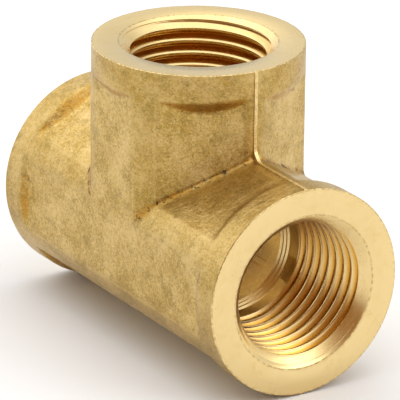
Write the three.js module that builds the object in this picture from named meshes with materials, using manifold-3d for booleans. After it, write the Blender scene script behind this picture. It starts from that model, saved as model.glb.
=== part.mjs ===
// Forged brass pipe tee with three equal female taper-threaded ports.
// Millimetres, +Z up. The run lies along X and the branch stands up along +Z.
// The origin is on the underside, below the point where the two axes cross.
// The forging dies part on the plane y = 0. The tee is one piece of metal.

import * as THREE from 'three';
import { mergeVertices } from 'three/addons/utils/BufferGeometryUtils.js';
import Module from 'manifold-3d';

// Forged outside
const centreToFace = 28.0;          // crossing of the axes to each machined port face
const collarRadius = 15.0;          // round collar at each port, and the hexagon's corner strips
const collarLength = 4.0;           // full-radius length of a collar
const ledgeLength = 2.6;            // the collar's sloped inner ledge, along the arm
const ledgeDepth = 2.1;             // how far that ledge falls towards the axis
const sideFlatDistance = 13.9;      // axis to the two flats that face +Y and -Y
const slantFlatDistance = 13.5;     // axis to each of the four slanted flats
const flashHeight = 0.15;           // trimmed parting line, proud of the corners
const flashWidth = 0.4;
const collarEdgeChamfer = 0.25;

// Machined ports: 1/2-14 taper pipe thread, 1 in 16 on diameter
const threadPitch = 25.4 / 14;
const threadPitchRadiusAtFace = 19.772 / 2;
const threadHeight = 0.8 * threadPitch;
const threadTaper = 1 / 32;         // change of radius along the axis
const threadDepth = 9 * threadPitch;        // deepest full thread below the face
const threadTurns = 11;
const mouthRadius = 11.15;
const mouthEdge = 0.2;              // small chamfer at the face
const countersinkDepth = 2.1;
const countersinkEndRadius = 10.3;
const drillRadius = 8.5;              // taper-reamed above this, so the thread keeps full crests
const drillDepth = 17.2;
const drillPointSlope = Math.tan(THREE.MathUtils.degToRad(31));
const waterwayRadius = 7.8;

// Facets
const roundSides = 48;
const threadSides = 28;
const overshoot = 3;                // how far a cutter runs past the face that it cuts

const wasm = await Module();
wasm.setup();

// A closed three.js geometry becomes a solid for joins and cuts.
function solid(geometry) {
  const bare = geometry.index ? geometry.toNonIndexed() : geometry.clone();
  bare.deleteAttribute('normal');
  bare.deleteAttribute('uv');
  const merged = mergeVertices(bare, 1e-4);
  return new wasm.Manifold(new wasm.Mesh({
    numProp: 3,
    vertProperties: Float32Array.from(merged.attributes.position.array),
    triVerts: Uint32Array.from(merged.index.array),
  }));
}

function toGeometry(manifold) {
  const mesh = manifold.getMesh();
  const geometry = new THREE.BufferGeometry();
  geometry.setAttribute('position', new THREE.BufferAttribute(mesh.vertProperties, 3));
  geometry.setIndex(new THREE.BufferAttribute(mesh.triVerts, 1));
  geometry.computeVertexNormals();
  return geometry;
}

// A profile of [radius, height] pairs turned about Z.
function turned(profile) {
  const points = profile.map(([radius, height]) => new THREE.Vector2(radius, height));
  const geometry = new THREE.LatheGeometry(points, roundSides);
  geometry.rotateX(Math.PI / 2);
  return solid(geometry);
}

// The hexagon of an arm about Z, with two corners in the parting plane.
function hexagonPrism(bottom, top) {
  const slant = Math.PI / 6;
  const cornerX = slantFlatDistance / Math.cos(slant);
  const sideX = (slantFlatDistance - sideFlatDistance * Math.sin(slant)) / Math.cos(slant);
  const outline = new THREE.Shape([
    new THREE.Vector2(cornerX, 0),
    new THREE.Vector2(sideX, sideFlatDistance),
    new THREE.Vector2(-sideX, sideFlatDistance),
    new THREE.Vector2(-cornerX, 0),
    new THREE.Vector2(-sideX, -sideFlatDistance),
    new THREE.Vector2(sideX, -sideFlatDistance),
  ]);
  const prism = new THREE.ExtrudeGeometry(outline, { depth: top - bottom, bevelEnabled: false });
  prism.translate(0, 0, bottom);
  return solid(prism);
}

function roundBar(bottom, top) {
  return turned([[0, bottom], [collarRadius, bottom], [collarRadius, top], [0, top]]);
}

// A collar whose machined face is at the given height, with its ledge below it.
function collar(face) {
  return turned([
    [0, face - collarLength - ledgeLength],
    [collarRadius - ledgeDepth, face - collarLength - ledgeLength],
    [collarRadius, face - collarLength],
    [collarRadius, face - collarEdgeChamfer],
    [collarRadius - collarEdgeChamfer, face],
    [0, face],
  ]);
}

function flashPlate(bottom, top) {
  const reach = collarRadius + flashHeight;
  const plate = new THREE.BoxGeometry(2 * reach, flashWidth, top - bottom);
  plate.translate(0, 0, (top + bottom) / 2);
  return solid(plate);
}

// The outside of an arm about Z, without its collars.
function bar(bottom, top) {
  return hexagonPrism(bottom, top).intersect(roundBar(bottom, top)).add(flashPlate(bottom, top));
}

function forging() {
  const end = collar(centreToFace);
  const run = bar(-centreToFace, centreToFace).add(end).add(end.rotate([180, 0, 0]));
  const branch = bar(0, centreToFace).add(end);
  return run.rotate([0, 90, 0]).add(branch);
}

// The thread as a tap would cut it: a tapered screw about Z whose ridges fill the grooves.
// Its rows are the ridges and the valleys in turn, and they climb one pitch for each turn of
// the screw, so the surface is a true right-hand helix.
function tap() {
  const rowsPerTurn = 2;
  const rowCount = rowsPerTurn * threadTurns;
  const start = centreToFace - threadDepth;
  const positions = [];
  for (let side = 0; side < threadSides; side += 1) {
    const angle = (2 * Math.PI * side) / threadSides;
    for (let row = 0; row <= rowCount; row += 1) {
      const height = start + (row / rowsPerTurn + side / threadSides) * threadPitch;
      const mean = threadPitchRadiusAtFace - (centreToFace - height) * threadTaper;
      const isRidge = row % rowsPerTurn === 1;
      const radius = mean + (isRidge ? threadHeight / 2 : -threadHeight / 2);
      positions.push(radius * Math.cos(angle), radius * Math.sin(angle), height);
    }
  }
  const at = (side, row) => (side % threadSides) * (rowCount + 1) + row;
  const bottomCentre = positions.length / 3;
  positions.push(0, 0, start);
  const topCentre = bottomCentre + 1;
  positions.push(0, 0, start + (threadTurns + 1) * threadPitch);

  const triangles = [];
  for (let side = 0; side < threadSides; side += 1) {
    // After a full turn the rows meet the first side's rows one turn higher.
    const lift = side === threadSides - 1 ? rowsPerTurn : 0;
    for (let row = 0; row < rowCount - lift; row += 1) {
      const a = at(side, row);
      const b = at(side + 1, row + lift);
      const c = at(side + 1, row + lift + 1);
      const d = at(side, row + 1);
      triangles.push(a, b, c, a, c, d);
    }
    triangles.push(bottomCentre, at(side + 1, lift), at(side, 0));
    triangles.push(topCentre, at(side, rowCount - lift), at(side + 1, rowCount));
  }
  // The steps where the first and the last turn end.
  for (let row = 0; row < rowsPerTurn; row += 1) {
    triangles.push(bottomCentre, at(0, row), at(0, row + 1));
    const last = threadSides - 1;
    triangles.push(topCentre, at(last, rowCount - row), at(last, rowCount - row - 1));
  }
  const geometry = new THREE.BufferGeometry();
  geometry.setAttribute('position', new THREE.Float32BufferAttribute(positions, 3));
  geometry.setIndex(triangles);
  return solid(geometry);
}

// The bored shape of one port about Z, from the waterway out past the face.
function boreProfile() {
  const drillEnd = centreToFace - drillDepth;
  const countersinkStart = centreToFace - countersinkDepth;
  return [
    [waterwayRadius, drillEnd - (drillRadius - waterwayRadius) * drillPointSlope],
    [drillRadius, drillEnd],
    [drillRadius, countersinkStart - (countersinkEndRadius - drillRadius)],
    [countersinkEndRadius, countersinkStart],
    [mouthRadius - mouthEdge, centreToFace - mouthEdge],
    [mouthRadius, centreToFace],
    [mouthRadius, centreToFace + overshoot],
    [0, centreToFace + overshoot],
  ];
}

function teeBody() {
  const upper = boreProfile();
  const lower = upper.map(([radius, height]) => [radius, -height]).reverse();
  const runBore = turned([...lower, ...upper]);
  const branchBore = turned([[0, 0], [waterwayRadius, 0], ...upper]);
  const screw = tap();
  const runCutter = runBore.add(screw).add(screw.rotate([180, 0, 0])).rotate([0, 90, 0]);
  return forging().subtract(runCutter).subtract(branchBore.add(screw));
}

const forgedBrass = new THREE.MeshStandardMaterial({ color: 0xb09a52, roughness: 0.55, metalness: 1 });

const tee = new THREE.Group();
const body = new THREE.Mesh(toGeometry(teeBody()), forgedBrass);
body.name = 'tee_body';
body.position.z = collarRadius + flashHeight;
tee.add(body);

export default tee;
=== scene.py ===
"""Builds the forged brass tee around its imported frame: the forging blank from one rule in
Geometry Nodes, the trimmed parting flash, the machined ports and their taper threads."""

import math

import bmesh
import bpy
from mathutils import Matrix, Vector


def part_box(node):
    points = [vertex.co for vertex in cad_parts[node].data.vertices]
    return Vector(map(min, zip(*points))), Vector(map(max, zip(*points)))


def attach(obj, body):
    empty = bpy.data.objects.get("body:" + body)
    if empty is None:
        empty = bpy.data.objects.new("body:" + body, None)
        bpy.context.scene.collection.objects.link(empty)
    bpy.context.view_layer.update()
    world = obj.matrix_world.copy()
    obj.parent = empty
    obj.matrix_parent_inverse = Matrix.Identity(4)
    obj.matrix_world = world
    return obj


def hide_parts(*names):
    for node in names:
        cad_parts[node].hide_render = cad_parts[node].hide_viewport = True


bl_info = {
    "name": "Forged Brass Pipe Tee",
    "version": (1, 0, 0),
    "blender": (4, 5, 0),
    "location": "View3D > Sidebar > Pipe Tee",
    "description": "Forges, trims, bores and threads a brass pipe tee",
    "category": "Object",
}

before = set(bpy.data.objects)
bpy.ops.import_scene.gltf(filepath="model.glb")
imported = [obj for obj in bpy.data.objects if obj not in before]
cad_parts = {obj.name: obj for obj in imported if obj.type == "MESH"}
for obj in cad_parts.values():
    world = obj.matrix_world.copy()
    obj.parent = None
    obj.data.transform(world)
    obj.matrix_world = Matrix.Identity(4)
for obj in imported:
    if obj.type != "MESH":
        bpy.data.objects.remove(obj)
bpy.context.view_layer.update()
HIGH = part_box("tee_body")[1]

MM = 0.001

# Driving dimensions
FLASH_HEIGHT = 0.15 * MM
AXIS_HEIGHT = 15.15 * MM
CROSSING = Vector((0.0, 0.0, AXIS_HEIGHT))
CENTRE_TO_FACE = HIGH.x
COLLAR_RADIUS = HIGH.y
HEXAGON_SLANT = math.radians(30)
SHARP_ANGLE = math.radians(42)

# The forging blank
MACHINING_STOCK = 0.7 * MM  # left on each end for the facing tool
BLANK_MARGIN = 1.5 * MM  # empty space round the blank while it is meshed
SLOPE_STEP = 0.02 * MM  # step by which the form's slope is measured
SETTLING_PASSES = 3  # times the mesh is drawn onto the form
LONG_MARK = 5 * MM
SHORT_MARK = 1.6 * MM
FLASH_MEAN = 0.45  # parts of the flash height
FLASH_WAVE = 0.5
FLASH_RIPPLE = 0.5 * MM
FLASH_SPACING = 0.25 * MM
FLASH_DEPTH = 1.2 * MM
FLASH_CORNER = 2 * MM
FLASH_CORNER_POINTS = 8
FLASH_OVERRUN = 4 * MM

# The machined ports
RIM_CHAMFER = 0.12 * MM
MOUTH_EDGE = 0.2 * MM
DRILL_POINT = math.tan(math.radians(31))
SHOULDER_STEPS = 3
SHOULDER_TREAD = 0.45 * MM
DRILL_OVERLAP = 0.2 * MM  # how far each drill passes the crossing
CUTTER_CLEARANCE = 2 * MM
CUTTER_HEIGHT = 6 * MM
CUTTER_SIDES = 240

# Thread section, at the face
THREAD_FLANK = math.radians(30)
THREAD_HEIGHT = 0.8  # parts of the pitch
ROOT_FLAT = 0.12 * MM
ROOT_ROUND_START = 0.16 * MM
ROOT_ROUND = ((0.05 * MM, 0.1 * MM), (0.0, 0.04 * MM))  # (inward from the root, half width)
CREST_EASE = ((0.0, 0.17 * MM), (0.08 * MM, 0.05 * MM))  # (outward from the crest, width past the flank)
CREST_EASE_END = 0.2 * MM
RIDGE_FOOT = 0.3 * MM  # how far the tapping ridge reaches inside the bore
RIDGE_GAP = 0.02 * MM  # left between neighbouring turns of the ridge
RIDGE_SEGMENTS = 96
TURNS_PAST_FACE = 1.5
FADE_TURNS = 1.0
FADE_SINK = 0.9  # parts of the ridge's height lost at its inner end

# Noise patterns: size of the bumps in millimetres, seed, detail, roughness
CLOUDS = (4.0, 11.0, 3.0)
MOTTLE = (0.6, 12.0, 4.0, 0.75)
SAND = (0.25, 13.0, 3.0, 0.7)
PITS = (0.7, 14.0, 2.0, 0.5)
STAINS = (0.45, 15.0, 4.0, 0.75)
SPECKS = (0.9, 16.0, 4.0, 0.75)
WEAR = (2.0, 17.0, 3.0)
WAVES = (1.6, 18.0, 2.0)
SMUDGES = (2.4, 19.0, 5.0, 0.7)
FINE_RINGS = (0.16, 21.0, 2.0, 0.6)
BROAD_RINGS = (0.9, 22.0, 2.0)
HAZE = (1.7, 23.0, 4.0, 0.6)
NICKS = (0.4, 24.0, 3.0, 0.65)
RAGGED_EDGES = (0.5, 25.0, 3.0, 0.7)

# Finish
TRIMMED = -3.0  # the crease attribute's value on the flash
CLEAR_OF_COLLARS = -2.0  # the two collar attributes' value on the flash
SAND_DEPTH = 0.05 * MM
PIT_DEPTH = 0.025 * MM
WAVE_DEPTH = 0.05 * MM
NICK_DEPTH = 0.008 * MM
RIM_INSET = (0.35, 0.15)  # band inside the collar's edge, millimetres
CUT_ROUGHNESS = 0.26
THREAD_ROUGHNESS = 0.28
FACE_RINGS = 0.006 * MM
THREAD_RINGS = 0.008 * MM
ANISOTROPY = 0.55
WARMER = (0.86, 0.78, 0.62)  # share of each channel left where the cut metal is stained

# The stage
FLOOR_REACH = 1.5
FLOOR_MOTTLE = (0.05, 31.0)
FLOOR_ROUGHNESS = 0.8
FLOOR_SPECULAR = 0.1
SENSOR_WIDTH = 36.0
CLIPPING = (0.01, 20.0)

# Glows and shades of the sky: the way to each, and the cosines at which it starts and is full
LEFT_GLOW = ((-0.85, -0.35, 0.6), 0.6, 0.97)
TOP_GLOW = ((0.0, 0.1, 1.0), 0.55, 0.95)
RIGHT_GLOW = ((0.71, 0.5, 0.5), 0.92, 0.99)
FAR_SHADE = ((-0.8, 0.55, 0.3), 0.6, 0.95)
FLAT_SHADE = ((0.05, -1.0, 0.05), 0.75, 0.98)  # what the near side flat faces
CAMERA_SIDE = ((0.85, -0.5, 0.0), 0.5, 0.92)
FAR_SHARE = 0.2  # parts of the side shade
DARKEST = 0.02


def length_property(name, description, default):
    return bpy.props.FloatProperty(
        name=name, description=description, default=default, unit="LENGTH", precision=5
    )


def colour_property(name, description, default):
    return bpy.props.FloatVectorProperty(
        name=name, description=description, default=default, subtype="COLOR", size=3, min=0, max=1
    )


class ForgingSizes(bpy.types.PropertyGroup):
    """The forged outside."""

    side_flat: length_property("Side flat", "Axis to the two side flats", 13.9 * MM)
    slant_flat: length_property("Slanted flat", "Axis to the slanted flats", 13.5 * MM)
    collar_length: length_property("Collar length", "Full-radius length of a collar", 4.0 * MM)
    ledge_length: length_property("Ledge length", "Length of a collar's sloped ledge", 2.6 * MM)
    ledge_depth: length_property("Ledge depth", "Fall of that ledge towards the axis", 2.1 * MM)
    corner_round: length_property("Corner rounding", "Softness of the convex corners", 0.34 * MM)
    ledge_fillet: length_property("Ledge fillet", "Softness where a ledge meets a flat", 0.5 * MM)
    crotch_fillet: length_property("Crotch fillet", "Softness where the arms meet", 1.2 * MM)
    unevenness: length_property("Unevenness", "Height of the die and scale marks", 0.05 * MM)
    cell: length_property("Cell", "Size of the blank's mesh cells", 0.45 * MM)
    flash_width: length_property("Flash width", "Width of the trimmed parting flash", 0.5 * MM)


class PortSizes(bpy.types.PropertyGroup):
    """The machined ports: half inch taper pipe thread, 14 turns to the inch."""

    pitch: length_property("Pitch", "Thread pitch", 25.4 / 14 * MM)
    pitch_radius: length_property("Pitch radius", "Thread pitch radius at the face", 9.98 * MM)
    crest: length_property("Crest", "Radius of the reamed bore, the thread's crests, at the face", 9.6 * MM)
    taper: bpy.props.FloatProperty(name="Taper", description="Radius lost along the axis", default=1 / 32)
    turns: bpy.props.FloatProperty(name="Turns", description="Turns below the face", default=9.1)
    thread_start: bpy.props.FloatProperty(
        name="Thread start", description="Turn of the thread about the port", default=1.897, unit="ROTATION"
    )
    mouth: length_property("Mouth", "Radius of the countersink at the face", 11.15 * MM)
    countersink: length_property("Countersink", "Depth of the countersink", 1.3 * MM)
    drill_depth: length_property("Drill depth", "Depth of the reamed bore", 17.7 * MM)
    waterway: length_property("Waterway", "Radius of the bore through the middle", 8.15 * MM)


class FinishColours(bpy.types.PropertyGroup):
    """Colours of the forged skin and the cut metal."""

    straw: colour_property("Straw", "Pale forged skin", (0.69, 0.505, 0.205))
    amber: colour_property("Amber", "Warm forged skin", (0.53, 0.34, 0.075))
    olive: colour_property("Olive", "Dull forged skin", (0.27, 0.185, 0.04))
    # Painted shade on the collars and corner strips; also a real stain on the cut edges.
    collar_shade_and_edge_stain: colour_property("Brown", "Skin on the collars, stain on cut edges", (0.34, 0.20, 0.055))
    # Painted shade in the creases and on the ledges under the collars.
    tan: colour_property("Tan", "Orange stain in the creases", (0.50, 0.25, 0.035))
    scale: colour_property("Scale", "Dark oxide in the creases", (0.05, 0.035, 0.02))
    cut: colour_property("Cut brass", "Machined faces and bores", (0.82, 0.63, 0.30))
    groove: colour_property("Thread root", "Roots of the threads", (0.68, 0.35, 0.05))


# Field arithmetic: each Field is a node socket, and each operation adds the node it needs.


class Field:
    def __init__(self, tree, socket):
        self.tree = tree
        self.socket = socket

    def math(self, operation, *others):
        node = self.tree.nodes.new("ShaderNodeMath")
        node.operation = operation
        feed(self.tree, node.inputs[0], self)
        for index, other in enumerate(others, start=1):
            feed(self.tree, node.inputs[index], other)
        return Field(self.tree, node.outputs[0])

    def __add__(self, other):
        return self.math("ADD", other)

    def __sub__(self, other):
        return self.math("SUBTRACT", other)

    def __mul__(self, other):
        return self.math("MULTIPLY", other)

    def __truediv__(self, other):
        return self.math("DIVIDE", other)

    def abs(self):
        return self.math("ABSOLUTE")

    def negative(self):
        return self.math("MULTIPLY", -1.0)


def feed(tree, socket, value):
    if isinstance(value, Field):
        tree.links.new(value.socket, socket)
    else:
        socket.default_value = value


def node_with(tree, kind, inputs=None, **settings):
    node = tree.nodes.new(kind)
    for name, value in settings.items():
        setattr(node, name, value)
    for name, value in (inputs or {}).items():
        feed(tree, node.inputs[name], value)
    return node


def field_out(tree, node, name=0):
    return Field(tree, node.outputs[name])


def vector_math(tree, operation, first, second=None, result="Vector"):
    """A vector operation; the second term of SCALE is the number to scale by."""
    terms = {0: first}
    if second is not None:
        terms["Scale" if operation == "SCALE" else 1] = second
    return field_out(tree, node_with(tree, "ShaderNodeVectorMath", terms, operation=operation), result)


def smallest(a, b, softness):
    return a.math("SMOOTH_MIN", b, softness)


def largest(a, b, softness):
    return a.math("SMOOTH_MAX", b, softness)


def hypotenuse(a, b):
    return (a * a + b * b).math("SQRT")


def new_tree(name, inputs, outputs):
    """A node tree with sockets of (name, type, default), its inputs by name, and its output node."""
    tree = bpy.data.node_groups.new(name, "GeometryNodeTree")
    for in_out, sockets in (("INPUT", inputs), ("OUTPUT", outputs)):
        for socket_name, kind, default in sockets:
            socket = tree.interface.new_socket(socket_name, in_out=in_out, socket_type=kind)
            if default is not None:
                socket.default_value = default
    entry = tree.nodes.new("NodeGroupInput")
    leave = tree.nodes.new("NodeGroupOutput")

    def given(socket_name):
        return field_out(tree, entry, socket_name)

    return tree, given, leave


def run_tree(name, tree, values):
    """Evaluates a tree on an empty mesh and returns the result as a plain mesh object."""
    carrier = bpy.data.objects.new(name, bpy.data.meshes.new(name))
    bpy.context.scene.collection.objects.link(carrier)
    modifier = carrier.modifiers.new(name, "NODES")
    modifier.node_group = tree
    for item in tree.interface.items_tree:
        if item.item_type == "SOCKET" and item.in_out == "INPUT" and item.name in values:
            modifier[item.identifier] = values[item.name]
    depsgraph = bpy.context.evaluated_depsgraph_get()
    mesh = bpy.data.meshes.new_from_object(carrier.evaluated_get(depsgraph))
    carrier.modifiers.remove(modifier)
    carrier.data = mesh
    mesh.name = name
    if mesh.materials and mesh.materials[0] is None:
        mesh.materials.pop(index=0)
    return carrier


def recorded(tree, skin, records):
    """Stores each value on the mesh under its name."""
    for name, value in records.items():
        record = node_with(
            tree, "GeometryNodeStoreNamedAttribute", {"Geometry": skin, "Name": name, "Value": value}
        )
        skin = field_out(tree, record)
    return skin


def deliver(tree, leave, skin, material):
    """Sends the skin out of the tree as a real mesh in its material."""
    real = node_with(tree, "GeometryNodeRealizeInstances", {"Geometry": skin})
    painted = node_with(
        tree, "GeometryNodeSetMaterial", {"Geometry": field_out(tree, real), "Material": material}
    )
    feed(tree, leave.inputs["Mesh"], field_out(tree, painted))


FORM_INPUTS = (
    "Side flat",
    "Slanted flat",
    "Collar radius",
    "Collar start",
    "Ledge slope",
    "Corner rounding",
    "Ledge fillet",
    "Crotch fillet",
    "Stock end",
)


def form_tree():
    """Distance from the forging's outside, and from the collars' radius, axes crossing at the origin."""
    sockets = [("Place", "NodeSocketVector", None), ("Softness", "NodeSocketFloat", 1.0)]
    sockets += [(name, "NodeSocketFloat", 0.0) for name in FORM_INPUTS]
    results = [(name, "NodeSocketFloat", None) for name in ("Distance", "Below rim", "Collar lead")]
    tree, given, leave = new_tree("forging_form", sockets, results)

    split = node_with(tree, "ShaderNodeSeparateXYZ", {0: given("Place")})
    x, y, z = (field_out(tree, split, index) for index in range(3))
    softness = given("Softness")
    corner = given("Corner rounding") * softness
    fillet = given("Ledge fillet") * softness
    crotch = given("Crotch fillet") * softness
    side_y = y.abs() * math.sin(HEXAGON_SLANT)

    def arm(across):
        """Corner strips and slanted flats of an arm, and its distance from the axis."""
        around = hypotenuse(across, y)
        slanted = across.abs() * math.cos(HEXAGON_SLANT) + side_y - given("Slanted flat")
        return largest(around - given("Collar radius"), slanted, corner), around

    def collar(around, along):
        rim = around - given("Collar radius")
        fall = given("Ledge slope")
        ledge = given("Collar start") + rim * fall - along
        steepness = (fall * fall + 1.0).math("SQRT")
        return largest(rim, ledge / steepness, corner)

    run, run_around = arm(z)
    branch, branch_around = arm(x)
    branch = branch.math("MAXIMUM", z.negative())
    arms = smallest(run, branch, crotch)
    bars = largest(arms, y.abs() - given("Side flat"), corner)
    collars = collar(run_around, x.abs()).math("MINIMUM", collar(branch_around, z))
    whole = smallest(bars, collars, fillet)
    run_rim = run_around - given("Collar radius")
    branch_rim = (branch_around - given("Collar radius")).math("MAXIMUM", z.negative())
    whole = whole.math("MAXIMUM", smallest(run_rim, branch_rim, crotch))
    whole = whole.math("MAXIMUM", x.abs() - given("Stock end"))
    whole = whole.math("MAXIMUM", z - given("Stock end"))
    feed(tree, leave.inputs["Distance"], whole)
    feed(tree, leave.inputs["Below rim"], run_rim.math("MINIMUM", branch_rim))
    feed(tree, leave.inputs["Collar lead"], bars - collars)
    return tree


def forging_tree(cell):
    """The forging blank: a volume filled by the form's rule, meshed, then drawn onto the rule."""
    form = form_tree()
    sockets = [(name, "NodeSocketFloat", 0.0) for name in (*FORM_INPUTS, "Unevenness")]
    sockets.append(("Material", "NodeSocketMaterial", None))
    tree, given, leave = new_tree("forging", sockets, [("Mesh", "NodeSocketGeometry", None)])

    def form_at(place, softness, result="Distance"):
        group = node_with(tree, "GeometryNodeGroup", node_tree=form)
        feed(tree, group.inputs["Place"], place)
        feed(tree, group.inputs["Softness"], softness)
        for name in FORM_INPUTS:
            feed(tree, group.inputs[name], given(name))
        return field_out(tree, group, result)

    position = field_out(tree, node_with(tree, "GeometryNodeInputPosition"))

    def marks(size, seed):
        """Signed noise with bumps of about the given size."""
        noise = node_with(
            tree,
            "ShaderNodeTexNoise",
            {"Vector": position, "W": seed, "Scale": 1 / size, "Detail": 2.0, "Roughness": 0.5},
            noise_dimensions="4D",
        )
        return field_out(tree, noise, 0) - 0.5

    roughcast = (marks(LONG_MARK, 1.0) * 1.6 + marks(SHORT_MARK, 2.0)) * given("Unevenness")

    reach = CENTRE_TO_FACE + BLANK_MARGIN
    side = COLLAR_RADIUS + BLANK_MARGIN
    cells = [math.ceil(extent / cell) for extent in (2 * reach, 2 * side, reach + side)]
    density = (form_at(position, 1.0) / cell).negative()
    stock = node_with(
        tree,
        "GeometryNodeVolumeCube",
        {
            "Density": density,
            "Background": -1.0,
            "Min": (-reach, -side, -side),
            "Max": (reach, side, reach),
            "Resolution X": cells[0],
            "Resolution Y": cells[1],
            "Resolution Z": cells[2],
        },
    )
    mesher = node_with(
        tree,
        "GeometryNodeVolumeToMesh",
        {"Volume": field_out(tree, stock), "Threshold": 0.0},
    )
    skin = field_out(tree, mesher)

    for _ in range(SETTLING_PASSES):
        here = form_at(position, 1.0)
        slopes = []
        for axis in range(3):
            nudge = [0.0, 0.0, 0.0]
            nudge[axis] = SLOPE_STEP
            nudged = vector_math(tree, "ADD", position, nudge)
            slopes.append((form_at(nudged, 1.0) - here) / SLOPE_STEP)
        slope = node_with(tree, "ShaderNodeCombineXYZ", dict(zip(range(3), slopes)))
        upward = vector_math(tree, "NORMALIZE", field_out(tree, slope))
        back = vector_math(tree, "SCALE", upward, (here - roughcast).negative())
        drawn = node_with(tree, "GeometryNodeSetPosition", {"Geometry": skin, "Offset": back})
        skin = field_out(tree, drawn)

    # With no softness, the rule reads above zero in a filled corner and below zero on a rounded one.
    records = {
        "crease": form_at(position, 0.0) / MM,
        "below_rim": form_at(position, 0.0, "Below rim") / MM,
        "collar_lead": form_at(position, 0.0, "Collar lead") / MM,
    }
    deliver(tree, leave, recorded(tree, skin, records), given("Material"))
    return tree


def flash_tree():
    """A thin wavy fin that follows the forging's outline, drawn in the XY plane."""
    sockets = [
        ("Outline", "NodeSocketObject", None),
        ("Width", "NodeSocketFloat", 0.0),
        ("Height", "NodeSocketFloat", 0.0),
        ("Waviness", "NodeSocketFloat", 0.0),
        ("Material", "NodeSocketMaterial", None),
    ]
    tree, given, leave = new_tree("parting_flash", sockets, [("Mesh", "NodeSocketGeometry", None)])

    outline = node_with(tree, "GeometryNodeObjectInfo", {"Object": given("Outline")})
    path = node_with(tree, "GeometryNodeMeshToCurve", {"Mesh": field_out(tree, outline, "Geometry")})
    path = node_with(
        tree,
        "GeometryNodeFilletCurve",
        {"Curve": field_out(tree, path), "Count": FLASH_CORNER_POINTS, "Radius": FLASH_CORNER},
        mode="POLY",
    )
    path = node_with(
        tree,
        "GeometryNodeResampleCurve",
        {"Curve": field_out(tree, path), "Length": FLASH_SPACING},
        mode="LENGTH",
    )
    wave = node_with(
        tree,
        "ShaderNodeTexNoise",
        {
            "Vector": field_out(tree, node_with(tree, "GeometryNodeInputPosition")),
            "W": 3.0,
            "Scale": 1 / FLASH_RIPPLE,
            "Detail": 2.0,
        },
        noise_dimensions="4D",
    )
    lift = given("Height") + (field_out(tree, wave, 0) - 0.5) * 2.0 * given("Waviness")
    lift = lift.math("MINIMUM", FLASH_HEIGHT)
    tangent = field_out(tree, node_with(tree, "GeometryNodeInputTangent"))
    outward = vector_math(tree, "CROSS_PRODUCT", tangent, (0.0, 0.0, 1.0))
    offset = vector_math(tree, "SCALE", outward, lift - FLASH_DEPTH / 2)
    wavy = node_with(
        tree, "GeometryNodeSetPosition", {"Geometry": field_out(tree, path), "Offset": offset}
    )
    upright = node_with(tree, "GeometryNodeSetCurveNormal", {"Curve": field_out(tree, wavy)}, mode="Z_UP")
    section = node_with(
        tree,
        "GeometryNodeCurvePrimitiveQuadrilateral",
        {"Width": FLASH_DEPTH, "Height": given("Width")},
        mode="RECTANGLE",
    )
    fin = node_with(
        tree,
        "GeometryNodeCurveToMesh",
        {"Curve": field_out(tree, upright), "Profile Curve": field_out(tree, section), "Fill Caps": True},
    )
    records = {"crease": TRIMMED, "below_rim": CLEAR_OF_COLLARS, "collar_lead": CLEAR_OF_COLLARS}
    deliver(tree, leave, recorded(tree, field_out(tree, fin), records), given("Material"))
    return tree


def thread_tree():
    """The metal a tap removes: a tapered helical ridge about Z that fades out at its inner end."""
    sockets = [
        ("Pitch", "NodeSocketFloat", 0.0),
        ("Turns", "NodeSocketFloat", 0.0),
        ("Inner radius", "NodeSocketFloat", 0.0),
        ("Taper", "NodeSocketFloat", 0.0),
        ("Start height", "NodeSocketFloat", 0.0),
        ("Section", "NodeSocketObject", None),
        ("Ridge height", "NodeSocketFloat", 0.0),
        ("Material", "NodeSocketMaterial", None),
    ]
    tree, given, leave = new_tree("tap_ridge", sockets, [("Mesh", "NodeSocketGeometry", None)])

    climb = given("Pitch") * given("Turns")
    helix = node_with(
        tree,
        "GeometryNodeCurveSpiral",
        {
            "Resolution": RIDGE_SEGMENTS,
            "Rotations": given("Turns"),
            "Start Radius": given("Inner radius"),
            "End Radius": given("Inner radius") + climb * given("Taper"),
            "Height": climb,
        },
    )
    position = field_out(tree, node_with(tree, "GeometryNodeInputPosition"))
    outward = vector_math(tree, "MULTIPLY", position, (1.0, 1.0, 0.0))
    outward = vector_math(tree, "NORMALIZE", outward)
    along = field_out(tree, node_with(tree, "GeometryNodeSplineParameter"), "Factor") * given("Turns")
    fade = ((along / FADE_TURNS).negative() + 1.0).math("MAXIMUM", 0.0)
    sink = vector_math(tree, "SCALE", outward, fade * given("Ridge height") * -FADE_SINK)
    start = field_out(tree, node_with(tree, "ShaderNodeCombineXYZ", {"Z": given("Start height")}))
    moved = vector_math(tree, "ADD", position, vector_math(tree, "ADD", sink, start))
    right_handed = vector_math(tree, "MULTIPLY", moved, (1.0, -1.0, 1.0))
    placed = node_with(
        tree, "GeometryNodeSetPosition", {"Geometry": field_out(tree, helix), "Position": right_handed}
    )
    upright = node_with(tree, "GeometryNodeSetCurveNormal", {"Curve": field_out(tree, placed)}, mode="Z_UP")
    outline = node_with(tree, "GeometryNodeObjectInfo", {"Object": given("Section")})
    section = node_with(tree, "GeometryNodeMeshToCurve", {"Mesh": field_out(tree, outline, "Geometry")})
    ridge = node_with(
        tree,
        "GeometryNodeCurveToMesh",
        {"Curve": field_out(tree, upright), "Profile Curve": field_out(tree, section), "Fill Caps": True},
    )
    deliver(tree, leave, field_out(tree, ridge), given("Material"))
    return tree


# Materials: nodes in Object coordinates, millimetres, with the axes crossing at the origin.


def noise(tree, place, size, seed, detail=2.0, roughness=0.5):
    """Noise from 0 to 1 with bumps of about the given size, in the units of the place."""
    texture = node_with(
        tree,
        "ShaderNodeTexNoise",
        {"Vector": place, "W": seed, "Scale": 1 / size, "Detail": detail, "Roughness": roughness},
        noise_dimensions="4D",
    )
    return field_out(tree, texture, 0)


def ramp(tree, value, low, high, lowest=0.0, highest=1.0):
    """A smooth step from lowest to highest as the value goes from low to high."""
    step = node_with(
        tree,
        "ShaderNodeMapRange",
        {"Value": value, "From Min": low, "From Max": high, "To Min": lowest, "To Max": highest},
        interpolation_type="SMOOTHSTEP",
    )
    return field_out(tree, step, 0)


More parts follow.
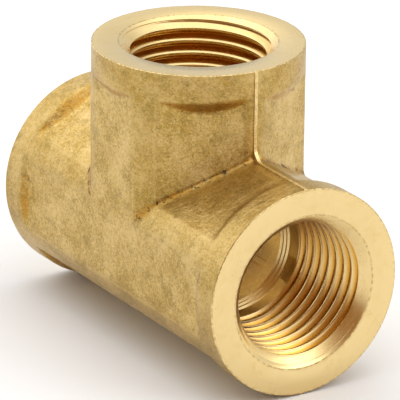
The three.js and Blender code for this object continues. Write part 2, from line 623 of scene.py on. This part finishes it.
def blend_colour(tree, amount, first, second):
    """From the first colour to the second by the amount."""
    mixer = tree.nodes.new("ShaderNodeMix")
    mixer.data_type = "RGBA"
    feed(tree, mixer.inputs[0], amount)
    # A Mix node has sockets for each data type under the same names, so its colour ones go by number.
    for socket, colour in ((mixer.inputs[6], first), (mixer.inputs[7], second)):
        feed(tree, socket, colour if isinstance(colour, Field) else (*colour, 1.0))
    return field_out(tree, mixer, 2)


def bumped(tree, height, distance, normal=None):
    inputs = {"Height": height, "Distance": distance, "Strength": 1.0}
    if normal is not None:
        inputs["Normal"] = normal
    return field_out(tree, node_with(tree, "ShaderNodeBump", inputs))


def metal(name):
    """A metallic material, its shader and its place in millimetres from the crossing."""
    material = bpy.data.materials.new(name)
    material.use_nodes = True
    tree = material.node_tree
    shader = tree.nodes["Principled BSDF"]
    shader.inputs["Metallic"].default_value = 1.0
    coordinates = field_out(tree, node_with(tree, "ShaderNodeTexCoord"), "Object")
    centred = vector_math(tree, "ADD", coordinates, -CROSSING)
    return material, tree, shader, vector_math(tree, "SCALE", centred, 1 / MM)


def stored(tree, name):
    """The value stored on the mesh under the name."""
    return field_out(tree, node_with(tree, "ShaderNodeAttribute", attribute_name=name), "Fac")


def forged_skin(colours):
    """Shot-blasted die skin: mottled, with painted shade on the collars and round corner strips, edge wear
    and painted highlights on the convex corners, painted shade in the creases and on the ledges under the
    collars, and sooty specks in the creases.
    """
    material, tree, shader, place = metal("forged_skin")
    crease = stored(tree, "crease")
    below_rim = stored(tree, "below_rim")
    collar_lead = stored(tree, "collar_lead")
    clouds = noise(tree, place, *CLOUDS)
    mottle = noise(tree, place, *MOTTLE)
    sand = noise(tree, place, *SAND)
    pits = noise(tree, place, *PITS)
    stains = noise(tree, place, *STAINS)

    warm = ramp(tree, mottle * 0.45 + clouds * 0.3 + sand * 0.25, 0.4, 0.62)
    colour = blend_colour(tree, warm, tuple(colours.straw), tuple(colours.amber))
    dull = ramp(tree, stains * 0.4 + sand * 0.35 + clouds * 0.25, 0.46, 0.64, 0.0, 0.75)
    colour = blend_colour(tree, dull, colour, tuple(colours.olive))
    # Painted shade: the collars and the round corner strips are darkened towards brown.
    rounded = ramp(tree, below_rim + (clouds - 0.5) * 0.7, -0.45, -0.1, 0.0, 0.22)
    colour = blend_colour(tree, rounded, colour, tuple(colours.collar_shade_and_edge_stain))
    # Edge wear and painted highlight: the rounded convex corners are lightened towards straw.
    edge_wear_and_highlight = ramp(tree, crease, -0.01, -0.06) * ramp(tree, mottle, 0.35, 0.6, 0.1, 0.65)
    colour = blend_colour(tree, edge_wear_and_highlight, colour, tuple(colours.straw))
    smudge = ramp(tree, noise(tree, place, *SMUDGES) * 0.75 + sand * 0.25, 0.49, 0.66, 0.0, 0.55)
    colour = blend_colour(tree, smudge, colour, tuple(colours.olive))
    # Painted shade: the ledges under the collars and the concave creases are darkened to orange, in
    # blotches.
    ledge = ramp(tree, collar_lead, -0.05, 0.2) * ramp(tree, below_rim, -0.05, -0.3)
    hollow = ramp(tree, crease, 0.01, 0.12)
    stain = ledge.math("MAXIMUM", hollow) * ramp(tree, clouds * 0.5 + mottle * 0.5, 0.38, 0.62, 0.15, 0.8)
    colour = blend_colour(tree, stain, colour, tuple(colours.tan))
    speck = ramp(tree, noise(tree, place, *SPECKS), 0.51, 0.6)
    soot = speck * (hollow * 0.85 + ledge * 0.2 + 0.07)
    colour = blend_colour(tree, soot, colour, tuple(colours.scale))
    trimmed = ramp(tree, crease, TRIMMED * 0.3, TRIMMED * 0.6) * ramp(tree, mottle, 0.4, 0.56, 0.3, 1.0)
    colour = blend_colour(tree, trimmed, colour, tuple(colours.cut))
    feed(tree, shader.inputs["Base Color"], colour)

    rough = noise(tree, place, *WEAR) * 0.16 + sand * 0.12 + 0.24
    rough = rough + soot * 0.3
    feed(tree, shader.inputs["Roughness"], rough.math("MINIMUM", 0.9))

    grain = bumped(tree, sand, SAND_DEPTH)
    pitted = bumped(tree, ramp(tree, pits, 0.3, 0.6), PIT_DEPTH, grain)
    waves = bumped(tree, noise(tree, place, *WAVES), WAVE_DEPTH, pitted)
    feed(tree, shader.inputs["Normal"], waves)
    return material


def from_port_axis(tree, place):
    """For a point's own port: distance from its axis, depth below its face, and the way round it."""
    split = node_with(tree, "ShaderNodeSeparateXYZ", {0: place})
    x, y, z = (field_out(tree, split, index) for index in range(3))
    in_branch = (z - x.abs()).math("GREATER_THAN", 0.0)
    in_run = in_branch.negative() + 1.0
    across = in_branch * x + in_run * z
    reach = z.math("MAXIMUM", x.abs())
    depth = reach.negative() + CENTRE_TO_FACE / MM
    parts = {"X": (in_branch * y).negative(), "Y": in_branch * x - in_run * z, "Z": in_run * y}
    round_axis = field_out(tree, node_with(tree, "ShaderNodeCombineXYZ", parts))
    return hypotenuse(across, y), depth, vector_math(tree, "NORMALIZE", round_axis)


def cut_brass(name, ports, colours, root, roughness, ring_depth):
    """Turned metal: bright, ringed round the port's axis, and in the root colour deep in the thread."""
    material, tree, shader, place = metal(name)
    radius, depth, round_axis = from_port_axis(tree, place)
    lathe = field_out(tree, node_with(tree, "ShaderNodeCombineXYZ", {"X": radius, "Y": depth}))
    fine_rings = noise(tree, lathe, *FINE_RINGS)
    broad_rings = noise(tree, lathe, *BROAD_RINGS)
    haze = noise(tree, place, *HAZE)
    nicks = noise(tree, place, *NICKS)
    stained = ramp(tree, haze * 0.7 + fine_rings * 0.3, 0.45, 0.7, 0.0, 0.4)
    warmer = tuple(channel * factor for channel, factor in zip(colours.cut, WARMER))
    base = blend_colour(tree, stained, tuple(colours.cut), warmer)
    in_groove = radius + depth * ports.taper - ports.crest / MM
    rooted = ramp(tree, in_groove, 0.0, 0.55) * ramp(tree, depth, 0.8, 2.2)
    base = blend_colour(tree, rooted, base, tuple(root))
    inset_start, inset_end = RIM_INSET
    rim = ramp(tree, radius, COLLAR_RADIUS / MM - inset_start, COLLAR_RADIUS / MM - inset_end)
    mouth = ramp(tree, (radius - ports.mouth / MM).abs(), 0.2, 0.05)
    ragged = ramp(tree, noise(tree, place, *RAGGED_EDGES), 0.42, 0.58)
    base = blend_colour(tree, ragged * rim.math("MAXIMUM", mouth) * 0.6, base, tuple(colours.collar_shade_and_edge_stain))
    feed(tree, shader.inputs["Base Color"], base)
    rough = broad_rings * 0.12 + haze * 0.1 + (roughness - 0.11)
    feed(tree, shader.inputs["Roughness"], rough)
    shader.inputs["Anisotropic"].default_value = ANISOTROPY
    feed(tree, shader.inputs["Tangent"], round_axis)
    rings = bumped(tree, fine_rings, ring_depth)
    dented = bumped(tree, ramp(tree, nicks, 0.68, 0.76), NICK_DEPTH, rings)
    feed(tree, shader.inputs["Normal"], dented)
    return material


# Shapes


def mesh_object(name, mesh, materials):
    """An object for the mesh, in the scene, at the origin."""
    piece = bpy.data.objects.new(name, mesh)
    bpy.context.scene.collection.objects.link(piece)
    for material in materials:
        mesh.materials.append(material)
    return piece


def turned_body(name, profile, sides, place, material):
    """A solid of revolution about Z from a profile of (radius, height) that starts and ends on the axis."""
    shape = bmesh.new()
    rings = []
    for radius, height in profile:
        if radius == 0:
            rings.append([shape.verts.new((0.0, 0.0, height))] * sides)
            continue
        angles = (2 * math.pi * side / sides for side in range(sides))
        rings.append([shape.verts.new((radius * math.cos(a), radius * math.sin(a), height)) for a in angles])
    for ring, following in zip(rings, rings[1:]):
        for side in range(sides):
            ahead = (side + 1) % sides
            corners = (ring[side], ring[ahead], following[ahead], following[side])
            shape.faces.new(list(dict.fromkeys(corners)))
    bmesh.ops.recalc_face_normals(shape, faces=shape.faces)
    shape.transform(place)
    mesh = bpy.data.meshes.new(name)
    shape.to_mesh(mesh)
    shape.free()
    return mesh_object(name, mesh, [material])


def closed_outline(name, corners):
    """A closed path of edges in the XY plane, for a tree to follow or to sweep."""
    mesh = bpy.data.meshes.new(name)
    edges = [(index, (index + 1) % len(corners)) for index in range(len(corners))]
    mesh.from_pydata([(x, y, 0.0) for x, y in corners], edges, [])
    return mesh_object(name, mesh, [])


def forging_outline(half_width, reach):
    """The outline of the arms in the parting plane, a T."""
    right = [(reach, -half_width), (reach, half_width), (half_width, half_width), (half_width, reach)]
    left = [(-x, y) for x, y in reversed(right)]
    return closed_outline("forging_outline", right + left)


def thread_section(ports):
    """One thread groove in section, X outward from the ridge's base: eased crests, a rounded root."""
    root = thread_root(ports) - ridge_base(ports)
    slope = math.tan(THREAD_FLANK)
    height = root - (ports.crest - ridge_base(ports))
    crest = root - height
    side = [(0.0, ports.pitch / 2 - RIDGE_GAP / 2)]
    side += [(crest + outward, height * slope + past) for outward, past in CREST_EASE]
    side.append((crest + CREST_EASE_END, (height - CREST_EASE_END) * slope + ROOT_FLAT / 2))
    side.append((root - ROOT_ROUND_START, ROOT_ROUND_START * slope + ROOT_FLAT / 2))
    side += [(root - inward, half_width) for inward, half_width in ROOT_ROUND]
    return closed_outline("thread_section", [(x, -y) for x, y in side] + [(x, y) for x, y in reversed(side)])


def combined(base, others, operation):
    """Joins the others to the base or cuts them from it, and leaves the base a plain mesh."""
    for other in others:
        modifier = base.modifiers.new(other.name, "BOOLEAN")
        modifier.operation = operation
        modifier.solver = "MANIFOLD"
        modifier.material_mode = "TRANSFER"
        modifier.object = other
    depsgraph = bpy.context.evaluated_depsgraph_get()
    mesh = bpy.data.meshes.new_from_object(base.evaluated_get(depsgraph))
    base.modifiers.clear()
    base.data = mesh
    for other in others:
        bpy.data.objects.remove(other)
    return base


def port_places():
    """Where each port's face is: Z runs into the port along its axis."""
    half_turn = Matrix.Rotation(math.pi, 4, "X")
    turns = {
        "branch": (Vector((0, 0, 1)), half_turn),
        "run_plus_x": (Vector((1, 0, 0)), Matrix.Rotation(-math.pi / 2, 4, "Y")),
        "run_minus_x": (Vector((-1, 0, 0)), Matrix.Rotation(math.pi / 2, 4, "Y")),
    }
    for name, (outward, turn) in turns.items():
        yield name, Matrix.Translation(CROSSING + outward * CENTRE_TO_FACE) @ turn


def blank(sizes, material):
    """The forging as it leaves the trimming die: the outside form and its parting flash."""
    form = {
        "Side flat": sizes.side_flat,
        "Slanted flat": sizes.slant_flat,
        "Collar radius": COLLAR_RADIUS - sizes.unevenness,
        "Collar start": CENTRE_TO_FACE - sizes.collar_length,
        "Ledge slope": sizes.ledge_length / sizes.ledge_depth,
        "Corner rounding": sizes.corner_round,
        "Ledge fillet": sizes.ledge_fillet,
        "Crotch fillet": sizes.crotch_fillet,
        "Stock end": CENTRE_TO_FACE + MACHINING_STOCK,
        "Unevenness": sizes.unevenness,
        "Material": material,
    }
    piece = run_tree("tee", forging_tree(sizes.cell), form)
    outline = forging_outline(COLLAR_RADIUS, CENTRE_TO_FACE + FLASH_OVERRUN)
    trim = {
        "Outline": outline,
        "Width": sizes.flash_width,
        "Height": FLASH_HEIGHT * FLASH_MEAN,
        "Waviness": FLASH_HEIGHT * FLASH_WAVE,
        "Material": material,
    }
    flash = run_tree("parting_flash", flash_tree(), trim)
    bpy.data.objects.remove(outline)
    flash.data.transform(Matrix.Rotation(math.pi / 2, 4, "X"))
    piece = combined(piece, [flash], "UNION")
    piece.data.transform(Matrix.Translation(CROSSING))
    return piece


def port_profile(ports):
    """What the facing tool, countersink, reamer and drill take away, as (radius, depth)."""
    sink_end = ports.crest - ports.countersink * ports.taper
    ream_end = ports.crest - ports.drill_depth * ports.taper
    step = (ream_end - ports.waterway) / SHOULDER_STEPS
    steps = []
    for index in range(SHOULDER_STEPS):
        radius = ream_end - step * index
        depth = ports.drill_depth + SHOULDER_TREAD * index
        steps += [(radius, depth), (radius - step, depth + step * DRILL_POINT)]
    beyond = CENTRE_TO_FACE + DRILL_OVERLAP
    tip = beyond + ports.waterway * DRILL_POINT
    clear = COLLAR_RADIUS + CUTTER_CLEARANCE
    return [
        (0, -CUTTER_HEIGHT),
        (clear, -CUTTER_HEIGHT),
        (clear, CUTTER_CLEARANCE + RIM_CHAMFER),
        (COLLAR_RADIUS - RIM_CHAMFER, 0),
        (ports.mouth, 0),
        (ports.mouth - MOUTH_EDGE, MOUTH_EDGE / 2),
        (sink_end, ports.countersink),
        *steps,
        (ports.waterway, beyond),
        (0, tip),
    ]


def thread_root(ports):
    """Radius of the thread's root at the port's face."""
    return ports.pitch_radius + THREAD_HEIGHT / 2 * ports.pitch


def ridge_base(ports):
    """Radius of the tapping ridge's base at the face, inside the bore."""
    return ports.crest - RIDGE_FOOT


def tap_ridge(name, ports, place, material):
    """One port's thread as the solid that a tap sweeps out."""
    section = thread_section(ports)
    length = ports.turns * ports.pitch
    values = {
        "Section": section,
        "Pitch": ports.pitch,
        "Turns": ports.turns + TURNS_PAST_FACE,
        "Inner radius": ridge_base(ports) - length * ports.taper,
        "Taper": ports.taper,
        "Start height": -length,
        "Ridge height": thread_root(ports) - ridge_base(ports),
        "Material": material,
    }
    ridge = run_tree(name, thread_tree(), values)
    bpy.data.objects.remove(section)
    start = Matrix.Rotation(ports.thread_start, 4, "Z")
    ridge.data.transform(place @ start @ Matrix.Rotation(math.pi, 4, "X"))
    return ridge


def machine(piece, ports, bore_metal, thread_metal):
    """Faces, bores and taps the three ports."""
    profile = port_profile(ports)
    cutters = [
        turned_body(name + "_cutter", profile, CUTTER_SIDES, place, bore_metal)
        for name, place in port_places()
    ]
    combined(piece, cutters, "DIFFERENCE")
    ridges = [tap_ridge(name + "_tap", ports, place, thread_metal) for name, place in port_places()]
    combined(piece, ridges, "DIFFERENCE")
    return piece


def finish_surface(piece):
    """Smooth faces that break only at machined edges."""
    piece.data.shade_smooth()
    piece.data.set_sharp_from_angle(angle=SHARP_ANGLE)


# Stage


def studio_floor(colour):
    """A pale floor that runs far past the view."""
    shape = bmesh.new()
    bmesh.ops.create_grid(shape, x_segments=4, y_segments=4, size=FLOOR_REACH)
    mesh = bpy.data.meshes.new("studio_floor")
    shape.to_mesh(mesh)
    shape.free()
    material = bpy.data.materials.new("pale_floor")
    material.use_nodes = True
    tree = material.node_tree
    shader = tree.nodes["Principled BSDF"]
    coordinates = node_with(tree, "ShaderNodeTexCoord")
    mottle = noise(tree, field_out(tree, coordinates, "Object"), *FLOOR_MOTTLE)
    paler = tuple(min(1.0, channel * 1.02) for channel in colour)
    feed(tree, shader.inputs["Base Color"], blend_colour(tree, mottle, tuple(colour), paler))
    shader.inputs["Roughness"].default_value = FLOOR_ROUGHNESS
    shader.inputs["Specular IOR Level"].default_value = FLOOR_SPECULAR
    floor = mesh_object("studio_floor", mesh, [material])


def studio_sky(stage):
    """Soft light all round, stronger from both sides and above, with a dim warm room at the camera."""
    world = bpy.data.worlds.new("studio")
    bpy.context.scene.world = world
    world.use_nodes = True
    tree = world.node_tree
    background = tree.nodes["Background"]
    direction = field_out(tree, node_with(tree, "ShaderNodeTexCoord"), "Generated")

    def glow(towards, start, full, strength):
        facing = vector_math(tree, "DOT_PRODUCT", direction, Vector(towards).normalized(), "Value")
        return ramp(tree, facing, start, full, 0.0, strength)

    light = glow(*LEFT_GLOW, stage.left_light)
    light = light + glow(*TOP_GLOW, stage.top_light)
    light = light + glow(*RIGHT_GLOW, stage.right_light)
    light = light - glow(*FAR_SHADE, stage.side_shade * FAR_SHARE)
    light = light - glow(*FLAT_SHADE, stage.side_shade)
    room = glow(*CAMERA_SIDE, 1.0)
    light = (light + stage.fill_light) * (room * -stage.room_shade + 1.0)
    feed(tree, background.inputs["Strength"], light.math("MAXIMUM", DARKEST))
    feed(tree, background.inputs["Color"], blend_colour(tree, room, (1.0, 1.0, 1.0), tuple(stage.room)))


def studio_camera(stage):
    """A long lens that looks down at the branch and the run's +X port."""
    back = Vector(
        (
            math.sin(stage.azimuth) * math.cos(stage.elevation),
            -math.cos(stage.azimuth) * math.cos(stage.elevation),
            math.sin(stage.elevation),
        )
    )
    level = Vector((math.cos(stage.azimuth), math.sin(stage.azimuth), 0.0))
    upright = back.cross(level)
    right = level * math.cos(stage.roll) + upright * math.sin(stage.roll)
    up = back.cross(right)
    aim = CROSSING + right * stage.aim_right + up * stage.aim_up
    lens = bpy.data.cameras.new("studio_camera")
    lens.sensor_width = SENSOR_WIDTH
    lens.lens = stage.lens
    lens.clip_start, lens.clip_end = CLIPPING
    camera = bpy.data.objects.new("studio_camera", lens)
    turn = Matrix((right, up, back)).transposed().to_4x4()
    camera.matrix_world = Matrix.Translation(aim + back * stage.distance) @ turn
    bpy.context.scene.collection.objects.link(camera)
    bpy.context.scene.camera = camera


class StageSettings(bpy.types.PropertyGroup):
    """The camera, the light and the floor."""

    azimuth: bpy.props.FloatProperty(
        name="Azimuth",
        description="Camera's turn round the tee",
        default=math.radians(57.93),
        unit="ROTATION",
    )
    elevation: bpy.props.FloatProperty(
        name="Elevation", description="Camera's height", default=math.radians(21.06), unit="ROTATION"
    )
    roll: bpy.props.FloatProperty(
        name="Roll", description="Camera's roll", default=math.radians(0.72), unit="ROTATION"
    )
    distance: length_property("Distance", "Camera to the point it looks at", 701 * MM)
    lens: bpy.props.FloatProperty(name="Lens", description="Focal length, millimetres", default=447.8)
    aim_right: length_property("Aim right", "Point looked at, right of the crossing", 0.52 * MM)
    aim_up: length_property("Aim up", "Point looked at, above the crossing", 3.93 * MM)
    left_light: bpy.props.FloatProperty(name="Left", description="Light from the left", default=0.7)
    top_light: bpy.props.FloatProperty(name="Top", description="Light from above", default=0.75)
    right_light: bpy.props.FloatProperty(name="Right", description="Light from the right", default=2.0)
    fill_light: bpy.props.FloatProperty(name="Fill", description="Light from all round", default=0.9)
    side_shade: bpy.props.FloatProperty(
        name="Side shade", description="Light lost beyond the tee and before its side", default=0.45
    )
    room_shade: bpy.props.FloatProperty(
        name="Room shade", description="Light lost to the room behind the camera", default=0.6
    )
    room: colour_property("Room", "The room behind the camera", (0.85, 0.38, 0.07))
    floor: colour_property("Floor", "The floor's colour", (0.84, 0.84, 0.84))


class PIPETEE_OT_forged_body(bpy.types.Operator):
    """Forge the tee, trim its flash, and face, bore and tap its three ports"""

    bl_idname = "pipetee.forged_body"
    bl_label = "Forged Body"

    def execute(self, context):
        scene = context.scene
        colours = scene.pipetee_colours
        ports = scene.pipetee_ports
        skin = forged_skin(colours)
        bore_metal = cut_brass("cut_brass", ports, colours, colours.cut, CUT_ROUGHNESS, FACE_RINGS)
        thread_metal = cut_brass(
            "thread_brass", ports, colours, colours.groove, THREAD_ROUGHNESS, THREAD_RINGS
        )
        piece = blank(scene.pipetee_forging, skin)
        machine(piece, ports, bore_metal, thread_metal)
        finish_surface(piece)
        if len(piece.data.polygons) == 0:
            raise RuntimeError("the tee came out empty")
        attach(piece, "root")
        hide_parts("tee_body")
        return {"FINISHED"}


class PIPETEE_OT_stage(bpy.types.Operator):
    """Lay the floor and set the light and the camera"""

    bl_idname = "pipetee.stage"
    bl_label = "Stage"

    def execute(self, context):
        stage = context.scene.pipetee_stage
        studio_floor(stage.floor)
        studio_sky(stage)
        studio_camera(stage)
        context.scene.view_settings.view_transform = "Standard"
        return {"FINISHED"}


class PIPETEE_PT_panel(bpy.types.Panel):
    bl_idname = "PIPETEE_PT_panel"
    bl_label = "Pipe Tee"
    bl_space_type = "VIEW_3D"
    bl_region_type = "UI"
    bl_category = "Pipe Tee"

    def draw(self, context):
        for group, operator in GROUPS_AND_OPERATORS:
            box = self.layout.box()
            settings = getattr(context.scene, group)
            for name in settings.__annotations__:
                box.prop(settings, name)
            if operator is not None:
                box.operator(operator)


GROUPS_AND_OPERATORS = (
    ("pipetee_forging", None),
    ("pipetee_ports", None),
    ("pipetee_colours", PIPETEE_OT_forged_body.bl_idname),
    ("pipetee_stage", PIPETEE_OT_stage.bl_idname),
)

GROUPS = {
    "pipetee_forging": ForgingSizes,
    "pipetee_ports": PortSizes,
    "pipetee_colours": FinishColours,
    "pipetee_stage": StageSettings,
}

CLASSES = (*GROUPS.values(), PIPETEE_OT_forged_body, PIPETEE_OT_stage, PIPETEE_PT_panel)


def register():
    for each in CLASSES:
        bpy.utils.register_class(each)
    for name, group in GROUPS.items():
        setattr(bpy.types.Scene, name, bpy.props.PointerProperty(type=group))


def unregister():
    for name in GROUPS:
        delattr(bpy.types.Scene, name)
    for each in reversed(CLASSES):
        bpy.utils.unregister_class(each)


def main():
    register()
    bpy.ops.pipetee.forged_body()
    bpy.ops.pipetee.stage()


if __name__ == "__main__":
    main()
